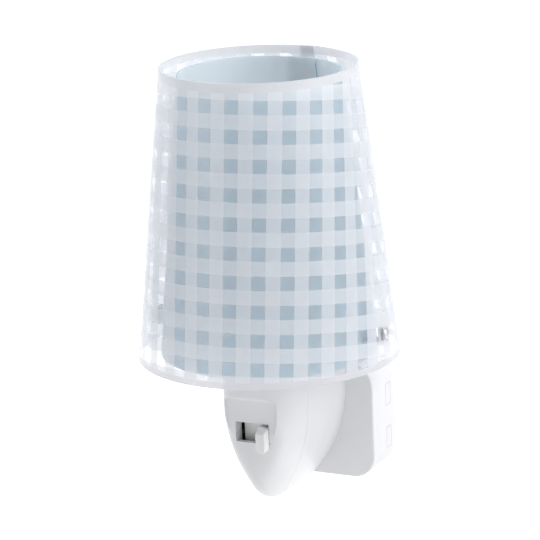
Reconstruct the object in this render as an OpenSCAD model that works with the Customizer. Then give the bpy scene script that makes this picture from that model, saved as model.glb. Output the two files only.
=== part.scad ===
/* [Shade] */
// Outer diameter of the shade at its bottom edge
shade_d_bottom = 75; // [70:0.5:75]
// Outer diameter of the shade at its top edge
shade_d_top = 56; // [54:0.5:62]
// Height of the shade
shade_h = 83.5; // [76:0.5:95]
// Thickness of the printed sheet
sheet_t = 0.5; // [0.4:0.05:0.7]
// Width of the glued lap at the top of the printed sheet
lap_w = 9; // [6:0.5:14]
// Turn of the lap's edge from the front, seen from above
lap_turn = 162; // [130:1:230]
// Height of the shade's bottom edge above the plug pins
shade_lift = 26.2; // [25:0.1:29]

/* [Liner] */
// Outer diameter of the liner at its bottom edge
liner_d_bottom = 56; // [54:0.5:60]
// Outer diameter of the liner at its top edge
liner_d_top = 45.6; // [42:0.2:48]
// Thickness of the liner sheet
liner_t = 0.5; // [0.4:0.05:0.8]
// Distance from the shade's top edge down to the liner's
liner_drop = 2.3; // [1:0.1:5]
// Distance from the shade's bottom edge up to the liner's
liner_raise = 1; // [0:0.1:3]

/* [Shade bracket] */
// Height of the strap above the shade's bottom edge
strap_height = 5.7; // [5.2:0.1:8]
// Width of the strap
strap_w = 5; // [4.4:0.1:8]
// Thickness of the strap
strap_t = 0.8; // [0.6:0.1:1.2]
// Height of the strap's upturned ends
tab_h = 4.6; // [4:0.1:6]
// Diameter of the rivet heads
rivet_head_d = 3.4; // [2.6:0.1:4]
// Diameter of the rivet shanks
rivet_d = 1.8; // [1.4:0.1:2.2]
// Width of the ring around the lampholder
ring_w = 4; // [3:0.5:6]

/* [Body] */
// Distance from the wall to the lamp's upright axis
axis_reach = 38; // [38:0.5:42]
// Half of the body's width where it meets the plug box
body_half_w = 13.2; // [12.9:0.1:14.2]
// Radius of the two arcs that meet at the body's lower tip
arch_r = 43.4; // [42:0.1:46]
// Radius that rounds the lower tip
tip_r = 3; // [2:0.1:4]
// Height above the plug pins where the arcs begin
arch_start = 12; // [11:0.1:13]
// Height of the body's flat top above the plug pins
body_top = 27; // [26.5:0.1:28.5]
// Distance from the lamp's axis to the front of the dome
dome_reach = 16.3; // [16:0.1:17]
// Wall of the two body halves
wall = 1.6; // [1.3:0.1:1.8]
// Depth of the front cover's tongue inside the rear body's rim
tongue_depth = 1.2; // [0.8:0.1:1.6]
// Diameter of the screws that join the halves
screw_d = 2.5; // [2:0.1:2.8]
// Diameter of the screw heads
screw_head_d = 4.8; // [4:0.1:5]
// Height of the upper screw above the plug pins
upper_screw_z = 13; // [12.8:0.1:13]
// Depth of the lower screw below the plug pins
lower_screw_drop = 4.5; // [4:0.1:5]

/* [Switch panel] */
// Distance from the lamp's axis forward to the recessed panel
panel_reach = 13.4; // [13.1:0.1:14]
// Half of the panel's width at its top
panel_half_w = 7.7; // [7.3:0.1:7.9]
// Radius of the two arcs that close the panel's lower end
panel_arch_r = 32.5; // [31:0.5:34]
// Height above the plug pins of the panel's upper edge
panel_top = 15.2; // [14.8:0.1:16]
// Rise in degrees of the sloping face from there to the body's front
panel_slope = 32; // [28:1:45]
// Width of the switch window
window_w = 10.4; // [10:0.1:10.8]
// Height of the switch window
window_h = 5.9; // [5.5:0.1:6.1]
// Height of the window's centre above the plug pins
window_z = 5.7; // [5.4:0.1:6]
// Depth of the window's collar behind the panel
window_depth = 3.9; // [3.7:0.1:4.1]

/* [Switch] */
// Width of the lever
lever_w = 2.7; // [2.3:0.1:3]
// Height of the lever's knob
knob_h = 6.4; // [6:0.1:6.6]
// How far the knob stands out of the panel
knob_proud = 3.2; // [2.8:0.1:3.8]
// Travel of the lever between its two positions
lever_travel = 3; // [2.6:0.1:3]
// Width of the shutter plate that rides behind the window
shutter_w = 9.4; // [9.2:0.1:9.6]
// Height of the shutter plate
shutter_h = 8.6; // [8.4:0.1:8.7]
// Thickness of the shutter plate
shutter_t = 1.2; // [1:0.1:1.3]
// Height of the cut at the shutter plate's lower left corner
shutter_cut_h = 1.7; // [1.4:0.1:2]
// Width of the cut at the shutter plate's lower left corner
shutter_cut_w = 0.8; // [0.6:0.1:1.2]
// Thickness of the contact metal
contact_t = 0.4; // [0.3:0.05:0.5]
// Thickness of the fixed switch base
base_t = 2.4; // [2:0.1:2.8]

/* [Plug box] */
// Width of the plug box
box_w = 43.2; // [42:0.2:46]
// Height of the plug box
box_h = 35; // [35:0.2:38]
// Depth of the plug box
box_d = 15.5; // [15:0.1:16.5]
// Radius of the box's four corners
box_r = 7; // [5:0.1:8]
// Bevel around the box's front face
box_bevel = 0.6; // [0.3:0.1:1]
// Wall of the plug box
box_wall = 1.8; // [1.5:0.1:1.9]
// Thickness of the back plate
plate_t = 2; // [1.8:0.1:2.2]
// Height of each clip window
clip_h = 6.4; // [5.5:0.1:7]
// Depth of each clip window
clip_d = 3.4; // [3:0.1:4]
// Distance between the two clip windows on one side
clip_pitch = 13.2; // [12:0.1:14]
// Drop of each pair of clip windows below the plug pins
clip_drop = 1; // [0:0.1:2]

/* [Plug pins] */
// Distance between the two pins
pin_pitch = 19; // [18:0.1:19.2]
// Length of the pins beyond the back plate
pin_len = 19; // [18:0.1:20]
// Diameter of the pins
pin_d = 4; // [4:0.1:4.6]
// Length of the insulating sleeves beyond the back plate
sleeve_len = 10; // [9:0.1:11]
// Outer diameter of the insulating sleeves
sleeve_d = 3.6; // [3.4:0.1:3.8]
// Wall of the insulating sleeves
sleeve_t = 0.5; // [0.4:0.05:0.6]

/* [Lampholder] */
// Outer diameter of the lampholder's upright skirt
skirt_d = 22.4; // [22.2:0.1:23.2]
// Height of the skirt above the body's top
skirt_h = 19; // [18:0.5:20]
// Width of the ledge that carries the shade
ledge_w = 1.2; // [1:0.1:2]
// Diameter of the neck that the body halves clamp
neck_d = 16.8; // [16.4:0.1:17.4]
// Diameter of the foot inside the body
foot_d = 19.2; // [18.6:0.1:19.4]
// Height of the foot inside the body
foot_h = 5.9; // [5.6:0.1:6.1]
// Thickness of the lampholder's floor
floor_t = 3; // [2.6:0.1:3.2]
// Thickness of the threaded contact shell
shell_t = 0.4; // [0.3:0.05:0.45]

/* [Bulb] */
// Diameter of the bulb's screw cap
cap_d = 13.6; // [13.2:0.05:13.7]
// Height of the bulb's screw cap
cap_h = 15; // [14:0.5:16]
// Diameter of the bulb's globe
globe_d = 20; // [18:0.5:21]
// Height of the bulb's plastic collar
collar_h = 10.4; // [9:0.1:12]
// Height of the globe above the collar
globe_h = 30; // [26:0.5:34]
// Wall of the globe
globe_t = 1; // [0.8:0.1:1.4]

/* [Leads] */
// Diameter of the inner wires
lead_d = 1.6; // [1.2:0.1:1.8]

/* [Clearances] */
// Gap between pieces that slide or turn on each other
running_gap = 0.1; // [0.06:0.01:0.12]
// Gap between pieces that are seated on each other
seat_gap = 0.05; // [0.02:0.01:0.08]

/* [Hidden] */

$fn = 96;
far = 100;
sides = [-1, 1];

// Places along the lamp's upright axis
axis_y = -axis_reach;
shade_top_z = shade_lift + shade_h;
strap_z = shade_lift + strap_height;
skirt_top_z = body_top + skirt_h;
foot_top_z = body_top - wall;
pocket_floor_z = foot_top_z - foot_h + floor_t;

// Places from the wall forward
box_face_y = -box_d;
bulkhead_y = box_face_y + box_wall;
panel_y = axis_y - panel_reach;
dome_y = axis_y - dome_reach;
collar_end_y = panel_y + window_depth;

module on_lamp_axis() {
    translate([0, axis_y, 0]) children();
}

// A flat outline given as [x, z], made as deep as from y_front to y_back
module upright_slab(y_front, y_back) {
    translate([0, y_back, 0]) rotate([90, 0, 0]) linear_extrude(y_back - y_front) children();
}

// A round bar or bore that runs from the front to the back
module rod_y(x, y_front, y_back, z, d) {
    translate([x, y_back, z]) rotate([90, 0, 0]) cylinder(h = y_back - y_front, d = d);
}

// ---- Shade ----

function taper_r(d_bottom, d_top, z_bottom, z_top, z) =
    d_bottom / 2 + (d_top - d_bottom) / 2 * (z - z_bottom) / (z_top - z_bottom);
function sheet_r(z) = taper_r(shade_d_bottom, shade_d_top, shade_lift, shade_top_z, z);

// Wall of a tapered sleeve, ready to be turned about the lamp's axis
module sleeve_wall(r_bottom, r_top, z_bottom, z_top, t) {
    polygon([[r_bottom - t, z_bottom], [r_bottom, z_bottom], [r_top, z_top], [r_top - t, z_top]]);
}

rivet_z = strap_z + strap_t + (tab_h - strap_t) / 2;

module rivet_hole(side) {
    translate([0, 0, rivet_z]) rotate([0, side * 90, 0])
        cylinder(h = far, d = rivet_d + 2 * seat_gap);
}

module outer_shade() {
    r_bottom = sheet_r(shade_lift);
    r_top = sheet_r(shade_top_z);
    lap_angle = lap_w / r_top * 180 / PI;
    color([0.95, 0.96, 0.98, 0.6]) on_lamp_axis() difference() {
        union() {
            rotate_extrude() sleeve_wall(r_bottom, r_top, shade_lift, shade_top_z, sheet_t);
            // the sheet's end lies glued over its beginning
            rotate([0, 0, lap_turn - 90 - lap_angle]) rotate_extrude(angle = lap_angle)
                sleeve_wall(r_bottom + sheet_t, r_top + sheet_t, shade_lift, shade_top_z, 1.5 * sheet_t);
        }
        for (side = sides) rivet_hole(side);
    }
}

module shade_liner() {
    liner_bottom_z = shade_lift + liner_raise;
    slot_w = strap_w + 2 * running_gap;
    slot_h = strap_t + 2 * seat_gap;
    color([0.72, 0.84, 0.92, 0.7]) on_lamp_axis() difference() {
        rotate_extrude() sleeve_wall(liner_d_bottom / 2, liner_d_top / 2,
            liner_bottom_z, shade_top_z - liner_drop, liner_t);
        // the strap's arms pass through two slots and carry the liner
        translate([-far / 2, -slot_w / 2, strap_z - seat_gap]) cube([far, slot_w, slot_h]);
    }
}

tab_lean = atan((shade_d_bottom - shade_d_top) / 2 / shade_h);
// The bent-up ends stay flat, so their edges lie nearest to the round sheet
tab_r = sqrt(pow(sheet_r(strap_z) - sheet_t - seat_gap, 2) - pow(strap_w / 2, 2));
ring_bore_d = skirt_d + 2 * running_gap;

module shade_bracket() {
    color([0.78, 0.78, 0.8]) on_lamp_axis() difference() {
        union() {
            translate([0, 0, strap_z]) cylinder(h = strap_t, d = ring_bore_d + 2 * ring_w);
            translate([-tab_r + strap_t, -strap_w / 2, strap_z])
                cube([2 * (tab_r - strap_t), strap_w, strap_t]);
            for (side = sides) end_tab(side);
        }
        translate([0, 0, strap_z - strap_t]) cylinder(h = 3 * strap_t, d = ring_bore_d);
        for (side = sides) rivet_hole(side);
    }
}

// The strap's end turned up against the sheet, leaning with it
module end_tab(side) {
    lean_shift = tab_h * tan(tab_lean);
    rotate([90, 0, 0]) translate([0, 0, -strap_w / 2]) linear_extrude(strap_w)
        polygon([for (p = [[tab_r - strap_t, 0], [tab_r, 0],
                [tab_r - lean_shift, tab_h], [tab_r - lean_shift - strap_t, tab_h]])
            [side * p[0], strap_z + p[1]]]);
}

module shade_rivets() {
    head_t = 0.6;
    inner_seat_r = tab_r - strap_t - (rivet_z - strap_z) * tan(tab_lean);
    lean_room = rivet_head_d / 2 * tan(tab_lean) + seat_gap;
    inner_head_r = inner_seat_r - lean_room;
    outer_head_r = sheet_r(rivet_z) + lean_room;
    color([0.7, 0.7, 0.72]) on_lamp_axis() for (side = sides)
        translate([0, 0, rivet_z]) rotate([0, side * 90, 0]) {
            translate([0, 0, inner_head_r - head_t]) cylinder(h = head_t, d = rivet_head_d);
            translate([0, 0, inner_head_r - head_t])
                cylinder(h = outer_head_r - inner_head_r + 2 * head_t, d = rivet_d);
            translate([0, 0, outer_head_r]) cylinder(h = head_t, d = rivet_head_d);
        }
}

// ---- Body form ----

// The body is lofted through upright outlines, one behind another. In plan its side follows a
// cubic curve from the plug box to the front of the dome, and its keel sweeps up on the way.
side_pull = 0.77;
shoulder_pull = 0.965;
side_pull_reach = 10.6;
side_pull_y = axis_y - side_pull_reach;
keel_start = 8;
keel_start_y = axis_y + keel_start;
keel_rise = 0.49;
keel_power = 3.5;
nose_power = 6;
arch_steps = 14;
tip_steps = 4;
loft_steps = 20;
loft_end = 0.97;

function cubic(a, b, c, d, t) =
    a * pow(1 - t, 3) + 3 * b * pow(1 - t, 2) * t + 3 * c * (1 - t) * t * t + d * pow(t, 3);
function plan_y(t, inset) =
    cubic(box_face_y, side_pull_y, dome_y + inset, dome_y + inset, t);
function width_scale(t) = cubic(1, side_pull, shoulder_pull, 0, t);
function keel_scale(t, inset) =
    let (
        sweep = max(0, (keel_start_y - plan_y(t, inset)) / (keel_start_y - dome_y - inset)),
        nose = 1 - pow(1 - width_scale(t), nose_power)
    )
    (1 - keel_rise * pow(sweep, keel_power)) * nose;

// Half of the widest outline, from its top down to the tip, as [x, z] points
function arch_half(inset) =
    let (
        centre_x = body_half_w - arch_r,
        r = arch_r - inset,
        round_r = tip_r - inset,
        turn = acos(-centre_x / (r - round_r)),
        round_z = arch_start - (r - round_r) * sin(turn)
    )
    concat(
        [[body_half_w - inset, body_top - inset]],
        [for (i = [0:arch_steps]) let (a = turn * i / arch_steps)
            [centre_x + r * cos(a), arch_start - r * sin(a)]],
        [for (i = [1:tip_steps]) let (a = turn + (90 - turn) * i / tip_steps)
            [round_r * cos(a), round_z - round_r * sin(a)]]
    );
function mirrored(half) =
    concat(half, [for (i = [len(half) - 2:-1:0]) [-half[i][0], half[i][1]]]);

function outline_at(t, inset) =
    let (sx = width_scale(t), sz = keel_scale(t, inset), y = plan_y(t, inset))
    [for (p = mirrored(arch_half(inset)))
        [p[0] * sx, y, p[1] > arch_start ? p[1] : arch_start + (p[1] - arch_start) * sz]];

module body_form(inset) {
    rings = [for (i = [0:loft_steps]) outline_at(loft_end * sin(90 * i / loft_steps), inset)];
    n = len(rings[0]);
    last = (len(rings) - 1) * n;
    skin = [for (k = [0:len(rings) - 2], j = [0:n - 1])
        let (a = k * n + j, b = k * n + (j + 1) % n)
        each [[a, b, b + n], [a, b + n, a + n]]];
    back = [for (j = [n - 1:-1:0]) j];
    front = [for (j = [0:n - 1]) last + j];
    polyhedron(points = [for (ring = rings) each ring], faces = concat(skin, [back, front]));
}

module front_space() {
    translate([-far / 2, axis_y - far, -far / 2]) cube([far, far, far]);
}
module back_space() {
    translate([-far / 2, axis_y, -far / 2]) cube([far, far, far]);
}

// The body's form, set in by inset, as far as depth behind the plane where its halves part
module rim_form(inset, depth) {
    intersection() {
        body_form(inset);
        translate([-far / 2, axis_y - wall, -far / 2]) cube([far, wall + depth, far]);
    }
}

// ---- Front cover ----

// Everything in front of the panel and of the sloping face above it, set back by depth
module panel_front(depth) {
    corner_z = panel_top + depth * tan(45 - panel_slope / 2);
    floor_y = panel_y + depth;
    rotate([90, 0, 90]) translate([0, 0, -far / 2]) linear_extrude(far)
        polygon([[floor_y, -far], [floor_y, corner_z], [floor_y - far, corner_z + far * tan(panel_slope)],
                 [floor_y - far, -far]]);
}

// The panel follows the drop of the body: straight sides above, two arcs below
module panel_outline() {
    intersection() {
        translate([-panel_half_w, -far / 2]) square([2 * panel_half_w, far]);
        union() {
            translate([-panel_half_w, arch_start]) square([2 * panel_half_w, far]);
            intersection_for (side = sides)
                translate([side * (panel_arch_r - panel_half_w), arch_start])
                    circle(r = panel_arch_r);
        }
    }
}

module window_outline(grow) {
    translate([0, window_z]) square([window_w + 2 * grow, window_h + 2 * grow], center = true);
}

post_wall = 1.15;
post_d = screw_d + 2 * post_wall;
pad_y = panel_y + wall;
base_front_y = collar_end_y + 2 * running_gap + shutter_t + 3 * contact_t;
base_back_y = base_front_y + base_t;
screw_places = [upper_screw_z, -lower_screw_drop];

module front_cover() {
    color([0.93, 0.93, 0.95]) difference() {
        union() {
            intersection() {
                body_form(0);
                front_space();
            }
            // the inner half of the wall goes on as a tongue
            rim_form(wall / 2 + seat_gap, tongue_depth);
        }
        intersection() {
            panel_front(0);
            upright_slab(dome_y - far, axis_y) panel_outline();
        }
        // hollow, with the panel, the collar round the window and two posts left standing
        difference() {
            body_form(wall);
            panel_front(wall);
            upright_slab(panel_y, collar_end_y) window_outline(wall);
            for (z = screw_places) rod_y(0, panel_y, base_front_y, z, post_d);
        }
        upright_slab(panel_y - far, collar_end_y + far / 2) window_outline(0);
        for (z = screw_places) rod_y(0, pad_y, axis_y, z, screw_d + 2 * seat_gap);
        on_lamp_axis() translate([0, 0, foot_top_z - wall])
            cylinder(h = 3 * wall, d = neck_d + 2 * seat_gap);
    }
}

// ---- Rear body with plug box ----

module rounded_outline(w, h, r) {
    square([w - 2 * r, h], center = true);
    square([w, h - 2 * r], center = true);
    for (sx = sides, sz = sides) translate([sx * (w / 2 - r), sz * (h / 2 - r)]) circle(r = r);
}

// One extruded outline with its front edge bevelled
module plug_box_block() {
    upright_slab(box_face_y + box_bevel, 0) rounded_outline(box_w, box_h, box_r);
    hull() {
        upright_slab(box_face_y + box_bevel, box_face_y + 2 * box_bevel)
            rounded_outline(box_w, box_h, box_r, $fn = 48);
        upright_slab(box_face_y, box_face_y + box_bevel)
            rounded_outline(box_w - 2 * box_bevel, box_h - 2 * box_bevel, box_r - box_bevel, $fn = 48);
    }
}

clip_set_back = 0.7;
clip_y = -plate_t - clip_set_back - clip_d / 2;

// A block at one clip window, from x_in to x_out on either side
module clip_block(side, row, x_in, x_out, play) {
    translate([side * (x_in + x_out) / 2, clip_y, row * clip_pitch / 2 - clip_drop])
        cube([x_out - x_in, clip_d - 2 * play, clip_h - 2 * play], center = true);
}

lead_opening_x = 7.4;
lead_opening_z = 3.5;
lead_opening_w = 4.4;
lead_opening_h = 9;

module lead_openings() {
    for (side = sides) translate([side * lead_opening_x, lead_opening_z])
        square([lead_opening_w, lead_opening_h], center = true);
}

module rear_body() {
    inner_r = box_r - box_wall;
    color([0.93, 0.93, 0.95]) difference() {
        union() {
            intersection() {
                body_form(0);
                back_space();
            }
            plug_box_block();
            for (z = screw_places) rod_y(0, base_back_y, bulkhead_y, z, post_d);
        }
        difference() {
            intersection() {
                body_form(wall);
                back_space();
            }
            for (z = screw_places) rod_y(0, base_back_y, bulkhead_y, z, post_d);
        }
        // rebate round the rim for the front cover's tongue
        difference() {
            rim_form(wall / 2, tongue_depth + seat_gap);
            body_form(1.2 * wall);
        }
        upright_slab(bulkhead_y, far) rounded_outline(box_w - 2 * box_wall, box_h - 2 * box_wall, inner_r);
        upright_slab(box_face_y - 1, bulkhead_y + 1) lead_openings();
        for (z = screw_places) rod_y(0, base_back_y - 1, bulkhead_y + 1, z, screw_d + 2 * running_gap);
        for (side = sides, row = sides)
            clip_block(side, row, box_w / 2 - 2 * box_wall, box_w / 2 + box_wall, 0);
        on_lamp_axis() translate([0, 0, foot_top_z - wall])
            cylinder(h = 3 * wall, d = neck_d + 2 * seat_gap);
    }
}

module cover_screws() {
    head_h = 1.7;
    tip_y = pad_y + wall / 2;
    color([0.75, 0.75, 0.77]) for (z = screw_places) {
        rod_y(0, tip_y, bulkhead_y, z, screw_d);
        rod_y(0, bulkhead_y, bulkhead_y + head_h, z, screw_head_d);
    }
}

// ---- Back plate and pins ----

boss_d = 8;
boss_y = -7.5;
core_d = sleeve_d - 2 * sleeve_t;
tail_y = -10.5;
tail_d = 2;

module pin_plate() {
    inset = box_wall + seat_gap;
    arm_t = 1.2;
    arm_x = box_w / 2 - inset - arm_t;
    color([0.93, 0.93, 0.95]) difference() {
        union() {
            upright_slab(-plate_t, 0)
                rounded_outline(box_w - 2 * inset, box_h - 2 * inset, box_r - inset);
            for (side = sides) rod_y(side * pin_pitch / 2, boss_y, -plate_t, 0, boss_d);
            for (side = sides, row = sides) {
                clip_block(side, row, arm_x, box_w / 2, seat_gap);
                translate([0, clip_d / 2, 0]) clip_block(side, row, arm_x, arm_x + arm_t, seat_gap);
            }
        }
        for (side = sides) {
            rod_y(side * pin_pitch / 2, -plate_t, 1, 0, sleeve_d + 2 * seat_gap);
            rod_y(side * pin_pitch / 2, boss_y - 1, -plate_t + 1, 0, pin_d + 2 * seat_gap);
        }
    }
}

module plug_pins() {
    nose = 1;
    color([0.8, 0.78, 0.72]) for (side = sides) {
        x = side * pin_pitch / 2;
        rod_y(x, tail_y, boss_y, 0, tail_d);
        rod_y(x, boss_y, -plate_t - seat_gap, 0, pin_d);
        rod_y(x, -plate_t - seat_gap, sleeve_len + 1, 0, core_d);
        rod_y(x, sleeve_len, pin_len - nose, 0, pin_d);
        translate([x, pin_len - nose, 0]) rotate([-90, 0, 0])
            cylinder(h = nose, d1 = pin_d, d2 = pin_d - 2 * nose);
    }
}

module pin_sleeves() {
    color([0.2, 0.2, 0.2]) for (side = sides) difference() {
        rod_y(side * pin_pitch / 2, -plate_t, sleeve_len, 0, sleeve_d);
        rod_y(side * pin_pitch / 2, -plate_t - 1, sleeve_len + 1, 0, core_d + 2 * seat_gap);
    }
}

// ---- Lampholder ----

shell_outer_d = cap_d + 2 * (running_gap + shell_t);
pocket_d = shell_outer_d + 2 * seat_gap;
mouth_step = 1.2;
mouth_depth = 3;
contact_rise = 2.7;
shell_start = 5;
mouth_d = pocket_d + 2 * mouth_step;
shell_top_z = skirt_top_z - mouth_depth;
tip_z = pocket_floor_z + contact_rise;
shell_bottom_z = tip_z + shell_start;
shell_tail_w = 3;
centre_tail = [-2.5, 4.2];
centre_tail_w = 2;
tail_drop = 1.5;
tail_end_z = foot_top_z - foot_h - tail_drop;

module lampholder() {
    bottom_z = foot_top_z - foot_h;
    color([0.95, 0.95, 0.95]) on_lamp_axis() difference() {
        rotate_extrude() polygon([
            [0, bottom_z], [foot_d / 2, bottom_z], [foot_d / 2, foot_top_z - seat_gap],
            [neck_d / 2, foot_top_z - seat_gap], [neck_d / 2, body_top + seat_gap],
            [skirt_d / 2 + ledge_w, body_top + seat_gap], [skirt_d / 2 + ledge_w, strap_z],
            [skirt_d / 2, strap_z], [skirt_d / 2, skirt_top_z],
            [mouth_d / 2, skirt_top_z], [mouth_d / 2, shell_top_z],
            [pocket_d / 2, shell_top_z], [pocket_d / 2, pocket_floor_z], [0, pocket_floor_z]]);
        shell_tail(seat_gap);
        centre_tail_strip(seat_gap);
    }
}

// The threaded shell's solder tail, which passes down through the lampholder's floor
module shell_tail(play) {
    translate([-shell_outer_d / 2 - play, -shell_tail_w / 2 - play, tail_end_z - play])
        cube([shell_t + 2 * play, shell_tail_w + 2 * play, shell_bottom_z + shell_t - tail_end_z]);
}

module screw_contact() {
    color([0.85, 0.75, 0.45]) on_lamp_axis() {
        rotate_extrude() translate([shell_outer_d / 2 - shell_t, shell_bottom_z])
            square([shell_t, shell_top_z - shell_bottom_z]);
        intersection() {
            shell_tail(0);
            translate([0, 0, tail_end_z]) cylinder(h = far, d = shell_outer_d);
        }
    }
}

module centre_tail_strip(play) {
    translate([centre_tail[0] - centre_tail_w / 2 - play, centre_tail[1] - play, tail_end_z - play])
        cube([centre_tail_w + 2 * play, contact_t + 2 * play,
            pocket_floor_z - tail_end_z + contact_t / 2 + play]);
}

// A strip on the pocket's floor, arched up to the bulb's tip
module centre_contact() {
    half_w = 2.5;
    crown = 1.6;
    foot_x = 4.6;
    rise = tip_z - pocket_floor_z - seat_gap;
    color([0.85, 0.75, 0.45]) on_lamp_axis() {
        rotate([90, 0, 0]) translate([0, 0, -half_w]) linear_extrude(2 * half_w)
            translate([0, pocket_floor_z]) polygon([
                [-foot_x - 1, 0], [-foot_x, 0], [-crown, rise - contact_t], [crown, rise - contact_t],
                [foot_x, 0], [foot_x + 1, 0], [foot_x + 1, contact_t], [foot_x + 0.2, contact_t],
                [crown + 0.3, rise], [-crown - 0.3, rise], [-foot_x - 0.2, contact_t],
                [-foot_x - 1, contact_t]]);
        translate([-foot_x - 1, 0, pocket_floor_z]) cube([1, centre_tail[1] + contact_t, contact_t]);
        translate([-foot_x - 1, centre_tail[1], pocket_floor_z])
            cube([centre_tail[0] + centre_tail_w / 2 + foot_x + 1, contact_t, contact_t]);
        centre_tail_strip(0);
    }
}

// ---- Switch ----

lever_right = window_w / 2 - running_gap;
lever_left = lever_right - lever_w;
shutter_left = lever_right - shutter_w;
shutter_front_y = collar_end_y + running_gap;
shutter_back_y = shutter_front_y + shutter_t;
shutter_bottom = window_z - shutter_h / 2;
shutter_top = shutter_bottom + shutter_h;
stem_bottom = window_z - window_h / 2 + 3 * running_gap;
stem_top = stem_bottom + window_h - 8 * running_gap;
strip_w = 1.2;
strip_spread = 2;
strip_zs = [window_z - strip_spread, window_z + strip_spread];
bridge_x = 2;
bridge_w = 3;
bridge_foot_w = 1;
bridge_end = 0.9;

knob_rise = 2.3;

module switch_slider() {
    knob_top = window_z + knob_rise;
    knob_bottom = knob_top - knob_h;
    knob_back_y = panel_y - running_gap;
    color([0.9, 0.9, 0.91]) {
        // shutter plate, its upper right corner cut away and its lower left one clear of the cover's wall
        upright_slab(shutter_front_y, shutter_back_y) polygon([
            [shutter_left, shutter_bottom + shutter_cut_h], [shutter_left + shutter_cut_w, shutter_bottom],
            [lever_right, shutter_bottom],
            [lever_right, stem_top - 0.6], [lever_left + 0.4, shutter_top - 1.6],
            [lever_left - 1.4, shutter_top], [shutter_left, shutter_top]]);
        upright_slab(knob_back_y, shutter_front_y)
            polygon([[lever_left, stem_bottom], [lever_right, stem_bottom],
                [lever_right, stem_top - 0.6], [lever_left, stem_top]]);
        // knob outside the panel, narrowing towards its front
        hull() {
            upright_slab(knob_back_y - 0.4, knob_back_y)
                polygon([[lever_left, knob_bottom + 0.8], [lever_right, knob_bottom + 0.2],
                    [lever_right, knob_top - 0.3], [lever_left, knob_top]]);
            upright_slab(panel_y - knob_proud, panel_y - knob_proud + 0.2)
                polygon([[lever_left + 0.1, knob_bottom + 0.9], [lever_right - 0.1, knob_bottom],
                    [lever_right - 0.1, knob_top - 1.3], [lever_left + 0.1, knob_top - 1.2]]);
        }
    }
}

// Bridge on the slider's back with one foot on each fixed strip
module moving_contact() {
    color([0.85, 0.75, 0.45]) {
        translate([bridge_x - bridge_w / 2, shutter_back_y, strip_zs[0] - bridge_end])
            cube([bridge_w, contact_t, strip_zs[1] - strip_zs[0] + 2 * bridge_end]);
        for (z = strip_zs)
            translate([bridge_x - bridge_foot_w / 2, shutter_back_y, z - bridge_foot_w / 2])
                cube([bridge_foot_w, base_front_y - contact_t - running_gap - shutter_back_y,
                    bridge_foot_w]);
    }
}

strip_end_x = 6.6;
strip_inset = 0.8;
strip_reach = 1;
strip_tail = 1;
base_margin = 1;
rail_h = 0.9;
base_half_w = strip_end_x - running_gap;
strip_back_y = axis_y - strip_tail;

module base_outline() {
    translate([-base_half_w, shutter_bottom - base_margin])
        square([2 * base_half_w, shutter_h + 2 * base_margin]);
    for (z = screw_places) translate([0, z]) circle(d = post_d + 0.6);
    translate([-post_d / 2, -lower_screw_drop]) square([post_d, upper_screw_z + lower_screw_drop]);
}

module switch_base() {
    color([0.3, 0.3, 0.32]) difference() {
        union() {
            upright_slab(base_front_y, base_back_y) base_outline();
            // rails above and below the shutter plate
            for (z = [shutter_bottom - running_gap - rail_h, shutter_top + running_gap])
                translate([-base_half_w, collar_end_y + running_gap, z])
                    cube([2 * base_half_w, base_front_y - collar_end_y, rail_h]);
        }
        for (z = screw_places) {
            rod_y(0, base_front_y - 1, base_back_y + 1, z, screw_d + 2 * running_gap);
            rod_y(0, collar_end_y, base_front_y, z, post_d + 2 * running_gap);
        }
    }
}

// Two strips with their ends bent back past the base: one long, one that ends short
module fixed_contacts() {
    color([0.85, 0.75, 0.45]) {
        contact_strip(1, -base_half_w + strip_inset, strip_zs[1]);
        contact_strip(-1, lever_left - lever_travel + strip_reach, strip_zs[0]);
    }
}

module contact_strip(side, inner_x, z) {
    x_from = side > 0 ? inner_x : -strip_end_x;
    x_to = side > 0 ? strip_end_x : inner_x;
    leg_x = side > 0 ? strip_end_x : -strip_end_x - contact_t;
    translate([x_from, base_front_y - contact_t, z - strip_w / 2])
        cube([x_to - x_from, contact_t, strip_w]);
    translate([leg_x, base_front_y - contact_t, z - strip_w / 2])
        cube([contact_t, strip_back_y - base_front_y + contact_t, strip_w]);
}

// ---- Leads ----

// A round wire along a few chosen points, smoothed between them
function spline(p0, p1, p2, p3, t) =
    0.5 * (2 * p1 + (p2 - p0) * t + (2 * p0 - 5 * p1 + 4 * p2 - p3) * t * t
        + (3 * p1 - p0 - 3 * p2 + p3) * t * t * t);
function smooth_path(points, steps) =
    let (n = len(points))
    concat([for (i = [0:n - 2], s = [0:steps - 1])
            spline(points[max(i - 1, 0)], points[i], points[i + 1], points[min(i + 2, n - 1)], s / steps)],
        [points[n - 1]]);
function unit(v) = v / norm(v);

module wire(points, d) {
    path = smooth_path(points, 4);
    n = len(path);
    around = 8;
    last = len(points) - 1;
    ahead = concat([unit(points[1] - points[0])],
        [for (i = [1:n - 2]) unit(path[i + 1] - path[i - 1])],
        [unit(points[last] - points[last - 1])]);
    side_dir = [for (a = ahead) unit(cross(a, [0.31, 0.17, 0.94]))];
    rings = [for (i = [0:n - 1], k = [0:around - 1])
        path[i] + d / 2 * (cos(360 * k / around) * side_dir[i]
            + sin(360 * k / around) * cross(ahead[i], side_dir[i]))];
    skin = [for (i = [0:n - 2], k = [0:around - 1])
        let (a = i * around + k, b = i * around + (k + 1) % around)
        each [[a, b + around, b], [a, a + around, b + around]]];
    start = [for (k = [0:around - 1]) k];
    end = [for (k = [around - 1:-1:0]) (n - 1) * around + k];
    polyhedron(points = rings, faces = concat(skin, [start, end]));
}

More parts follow.
